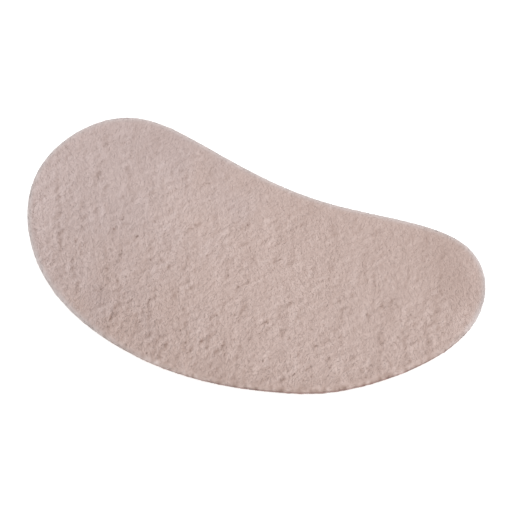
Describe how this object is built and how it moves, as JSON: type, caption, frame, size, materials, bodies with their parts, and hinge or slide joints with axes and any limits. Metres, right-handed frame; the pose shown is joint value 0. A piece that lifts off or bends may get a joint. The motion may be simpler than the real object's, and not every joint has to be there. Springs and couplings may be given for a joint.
{
  "type": "moleskin pad",
  "caption": "Flat kidney-shaped pad of thick brushed cotton with an adhesive back, stuck on skin over a spot that rubs.",
  "frame": {"origin": "middle of the pad's length and width, on the adhesive face that it rests on", "axes": "+X along the pad to its small end, +Y across it to the hollow side, +Z out of the napped face"},
  "size_m": [0.1, 0.05, 0.0018],
  "materials": {
    "brushed_cotton": "short matt nap, pale pinkish tan",
    "adhesive": "satin, slightly tacky"
  },
  "bodies": {
    "root": {"napped_face": "brushed_cotton", "adhesive_backing": "adhesive"}
  },
  "joints": []
}
